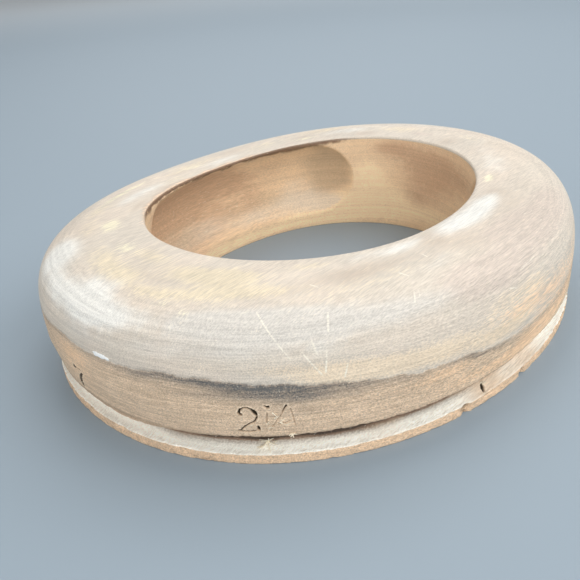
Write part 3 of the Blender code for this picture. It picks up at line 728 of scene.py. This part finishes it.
def strike(bm, corner, strokes, wide, tall, lean=0.0, lowest=CORD_LINE + 0.2, shadow_spread=0.0):
    """Strikes a figure into the wall: a finer mesh round it, cut by the strokes, with a burr at their edges, and the
    cuts marked to be painted dark as their shadow, which can spread a little past them.
    It can also mark a face that leans back from the wall by an angle in degrees."""
    corner, lean = Vector(corner), math.radians(lean)
    level_out = Vector((corner.x / (BLOCK_LENGTH / 2) ** 2, corner.y / (BLOCK_WIDTH / 2) ** 2, 0)).normalized()
    along = Vector((-level_out.y, level_out.x, 0))
    outward = (level_out * math.cos(lean) + Vector((0, 0, math.sin(lean)))).normalized()
    upward = outward.cross(along)

    def spot(vert):
        away = vert.co / MM - corner
        return away.dot(along), away.dot(upward), away.dot(outward)

    def near(vert, margin):
        right, up, out = spot(vert)
        return -margin < right < wide + margin and -margin < up < tall + margin and abs(out) < 2.5

    edges = [edge for edge in bm.edges if near(edge.verts[0], 1.0) and near(edge.verts[1], 1.0)
             and min(vert.co.z for vert in edge.verts) > lowest * MM]
    bmesh.ops.subdivide_edges(bm, edges=edges, cuts=3, use_grid_fill=True)
    struck, burr = layer_of(bm, "struck"), layer_of(bm, "burr")
    for vert in bm.verts:
        if not near(vert, 1.4) or vert.co.z < lowest * MM:
            continue
        right, up, _ = spot(vert)
        rough = noise.noise(Vector((right * 1.6, up * 1.6, corner.x)))
        cut, edge, dark = 0.0, 0.0, 0.0
        for stroke in strokes:
            for (x0, y0, w0, d0), (x1, y1, w1, d1) in zip(stroke, stroke[1:]):
                run, rise = x1 - x0, y1 - y0
                share = ((right - x0) * run + (up - y0) * rise) / max(run**2 + rise**2, 1e-6)
                share = min(max(share, 0), 1)
                apart = math.hypot(right - x0 - share * run, up - y0 - share * rise) + 0.10 * rough
                width, depth = w0 + share * (w1 - w0), d0 + share * (d1 - d0)
                cut = max(cut, depth * float(ease(width - apart, -0.06, 0.20)))
                # How dark the cut is painted, as its shadow
                dark = max(dark, min(depth / 0.7, 1) * float(ease(width + shadow_spread - apart, -0.06, 0.20)))
                burred = math.exp(-((apart - width - BURR_OUTSET) / BURR_WIDTH) ** 2)
                edge = max(edge, burred * min(depth * 1.3, 1))
        edge *= (1 - min(cut * 3, 1)) * min(max(0.7 + 1.2 * rough, 0), 1)
        vert.co += outward * (BURR_HEIGHT * edge - cut) * MM
        vert.co.x = max(vert.co.x, cad_box[0][0])
        vert[struck], vert[burr] = max(dark, vert[struck]), max(edge, vert[burr])


def chip(bm, place, size, sink):
    """Breaks a chip out of an edge: its points sink this way, in millimetres, and its hollow is painted darker as
    shade.
    """
    struck = layer_of(bm, "struck")
    for vert in bm.verts:
        away = (vert.co / MM - Vector(place)).length / size
        if away < 1:
            deep = (1 - away * away) * (0.8 + 0.6 * noise.noise(vert.co / MM * 1.3))
            vert.co += Vector(sink) * deep * MM
            vert[struck] = max(vert[struck], 0.55 * deep)


chip(base_bm, (-31.2, -77.4, 1.4), 2.2, (0.45, 1.1, 0.3))
chip(base_bm, (-6.3, -81.1, 0.9), 1.8, (0.1, 1.0, 0.4))
chip(base_bm, (30.0, 76.5, 1.2), 2.4, (-0.4, -1.1, 0.3))
strike(base_bm, (-81.95, -44.55, 10.7), TWO + QUARTER, 14.2, 8.6)
strike(base_bm, (-95.7, 4.9, 9.9), SEVEN, 4.9, 9.4, shadow_spread=0.16)
strike(base_bm, (-22.6, -77.6, 3.0), NICK, 0.8, 1.6, 50, 2.2)
base_wood = board_wood("base_wood", [])
base_board = finish_board("base_wood_board", base_bm, base_wood)
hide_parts("base_board")

# The splinters
# Stiff pale fibres that the punches and the knife lifted: a star of them stands in the groove under the
# figures, and others lie across the fraction. Each is thin and round and ends in a point.
SPLINTERS = [
    (-148.0, 4.8, (1.4, 0.8, 1.5)), (-148.0, 4.8, (-1.6, 0.9, 0.9)), (-147.9, 4.7, (0.4, 1.2, 1.9)),
    (-148.2, 4.6, (-0.8, 1.4, 1.3)), (-147.8, 4.5, (1.9, 1.0, 0.3)), (-148.3, 4.3, (-1.2, 1.6, -0.2)),
    (-148.0, 4.1, (0.9, 1.7, -0.5)), (-149.0, 3.9, (1.0, 0.9, 0.9)), (-149.1, 3.7, (-0.7, 0.8, 0.6)),
    (-147.0, 4.6, (0.9, 0.7, 0.9)), (-143.7, 9.5, (0.6, 0.7, -0.7)), (-143.5, 9.4, (-0.7, 0.8, -0.3)),
    (-143.4, 9.5, (0.9, 0.5, 0.3)), (-143.9, 9.5, (-0.3, 0.9, 0.2)), (-146.2, 16.6, (1.5, 0.2, -1.4)),
    (-146.0, 15.0, (1.6, 0.2, 1.2)), (-145.2, 13.6, (1.9, 0.2, -0.8)), (-144.6, 14.6, (-1.6, 0.2, -1.5)),
    (-144.3, 12.8, (1.3, 0.25, 1.0)), (-147.2, 13.4, (1.1, 0.2, 1.3)), (-147.0, 12.0, (1.5, 0.2, 0.5)),
    (-149.6, 12.9, (1.0, 0.2, 0.7)), (-106.2, 4.4, (0.5, 0.7, 0.8)), (-105.7, 4.0, (0.7, 0.5, 0.5))]
splinter_bm = bmesh.new()
for turn, height, (sideways, out, up) in SPLINTERS:
    turn = math.radians(turn)
    radial = Vector((math.cos(turn), math.sin(turn), 0))
    reach = Vector((-radial.y, radial.x, 0)) * sideways + radial * out + Vector((0, 0, up))
    if height > CORD_LINE:
        from_middle = float(wall(np.array([turn]), height)[0][0])
    else:
        reach *= 1.35
        cove = GROOVE_REACH * math.sqrt(1 - ((GROOVE_TURN - height) / GROOVE_DROP) ** 2)
        from_middle = oval(BLOCK_LENGTH, BLOCK_WIDTH, turn) - 0.5 - cove
    thick = (0.14 if height > CORD_LINE + 1 else 0.26) * MM
    made = bmesh.ops.create_cone(splinter_bm, cap_ends=True, segments=6, radius1=thick, radius2=thick * 0.3,
                                 depth=reach.length * MM)["verts"]
    centre = (radial * from_middle + Vector((0, 0, height)) + reach * 0.4) * MM
    aimed = Matrix.Translation(centre) @ reach.to_track_quat("Z", "Y").to_matrix().to_4x4()
    bmesh.ops.transform(splinter_bm, matrix=aimed, verts=made)
bmesh.ops.recalc_face_normals(splinter_bm, faces=splinter_bm.faces)


def plain_grain(tree):
    """The boards' grain, by the piece's own coordinates."""
    place = joined(tree, "ShaderNodeTexCoord", {}).outputs["Object"]
    return joined(tree, "ShaderNodeGroup", {"Place": place}, node_tree=grain).outputs


def plain_wood(name, dark, light):
    """Wood with nothing on it but its own grain, between two colours."""
    wood, tree, shader = paint(name)
    own_grain = plain_grain(tree)
    send(tree, laid_over(tree, own_grain["Fibres"], dark, light), shader["Base Color"])
    send(tree, reckon(tree, "MULTIPLY_ADD", own_grain["Mottle"], 0.2, 0.5), shader["Roughness"])
    bump = joined(tree, "ShaderNodeBump", {"Strength": 0.4, "Distance": 0.0002, "Height": own_grain["Fibres"]})
    send(tree, bump.outputs[0], shader["Normal"])
    return wood


lifted_fibre = plain_wood("lifted_fibre", (0.86, 0.74, 0.55, 1), (1.00, 0.94, 0.78, 1))
splinters = meshed("splinters", splinter_bm, lifted_fibre)
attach(splinters, "root")

# The white fleck
# A drop of white blocking size, dried hard and glossy on the tide line at the left end.
FLECK_HALF_LENGTH, FLECK_HALF_WIDTH, FLECK_THICKNESS = 3.1, 0.66, 0.35
fleck_bm = bmesh.new()
bmesh.ops.create_icosphere(fleck_bm, subdivisions=4, radius=MM)
middle = Vector((-95.95, -11.5, 27.45))
length_way = Vector((0.6, -4.9, -0.6)).normalized()
out_way = Vector((-0.90, -0.16, 0.40)).normalized()
across_way = out_way.cross(length_way).normalized()
out_way = length_way.cross(across_way).normalized()
for vert in fleck_bm.verts:
    long, wide, out = vert.co / MM
    wide *= FLECK_HALF_WIDTH * (1 + 0.8 * noise.noise(Vector((long * 2.6, 3.0, 0.0))))
    wide += 0.12 * math.sin(long * 3.0)
    along = length_way * long * FLECK_HALF_LENGTH
    vert.co = (middle + along + across_way * wide + out_way * out * FLECK_THICKNESS) * MM
    vert.co.x = max(vert.co.x, cad_box[0][0])
bmesh.ops.recalc_face_normals(fleck_bm, faces=fleck_bm.faces)
dried, tree, shader = paint("dried_size")
dried_grain = plain_grain(tree)
whites = laid_over(tree, dried_grain["Specks"], (0.78, 0.80, 0.80, 1), (0.96, 0.97, 0.95, 1))
send(tree, whites, shader["Base Color"])
send(tree, reckon(tree, "MULTIPLY_ADD", dried_grain["Mottle"], 0.2, 0.12), shader["Roughness"])
fleck = meshed("white_fleck", fleck_bm, dried)
fleck.data.shade_smooth()
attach(fleck, "root")

# The six pegs
# Split hardwood pegs across the glue line, inside both boards, where they hold the block in steam.
peg_wood = plain_wood("peg_wood", (0.40, 0.25, 0.13, 1), (0.62, 0.42, 0.24, 1))
for number in range(1, 7):
    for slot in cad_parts[f"peg_{number}"].material_slots:
        slot.material = peg_wood

# The floor and the light
# A plain pale floor of paper that gets lighter far out, a soft window in front and one to the right, and
# weaker soft lights to the left, to the far right and behind.
LIGHT_SIZE, LIGHT_DISTANCE = 1.1, 1.5
floor_paint, paper, shader = paint("floor_paint")
floor_place = joined(paper, "ShaderNodeTexCoord", {}).outputs["Object"]
far_out = joined(paper, "ShaderNodeVectorMath", {0: floor_place}, operation="LENGTH").outputs["Value"]
greys = laid_over(paper, eased(paper, far_out, 0.8, 2.2), (0.300, 0.370, 0.430, 1), (0.78, 0.84, 0.88, 1))
send(paper, greys, shader["Base Color"])
shader["Roughness"].default_value = 0.6
floor_bm = bmesh.new()
bmesh.ops.create_grid(floor_bm, x_segments=1, y_segments=1, size=6)
floor = meshed("floor", floor_bm, floor_paint)

world = bpy.data.worlds.new("world")
bpy.context.scene.world = world
world.use_nodes = True
world.node_tree.nodes["Background"].inputs["Color"].default_value = (1, 1, 1, 1)
world.node_tree.nodes["Background"].inputs["Strength"].default_value = 0.30

# Each soft light is so far round from the camera and so high above the floor, in degrees, with its power in watts.
for name, turn, rise, power in (("front_light", 0, 25, 10.0), ("right_light", 60, 45, 8.0),
                                ("left_side_light", -70, 30, 4.0), ("right_side_light", 110, 35, 6.2),
                                ("low_back_light", 180, 35, 3.5), ("high_back_light", 180, 65, 7.2)):
    light = bpy.data.lights.new(name, "AREA")
    light.size, light.energy = LIGHT_SIZE, power
    towards = direction(azimuth + math.radians(turn), math.radians(rise))
    lamp = placed(name, light)
    lamp.location = towards * LIGHT_DISTANCE
    lamp.rotation_mode = "QUATERNION"
    lamp.rotation_quaternion = towards.to_track_quat("Z", "Y")
bpy.context.scene.view_settings.view_transform = "Standard"
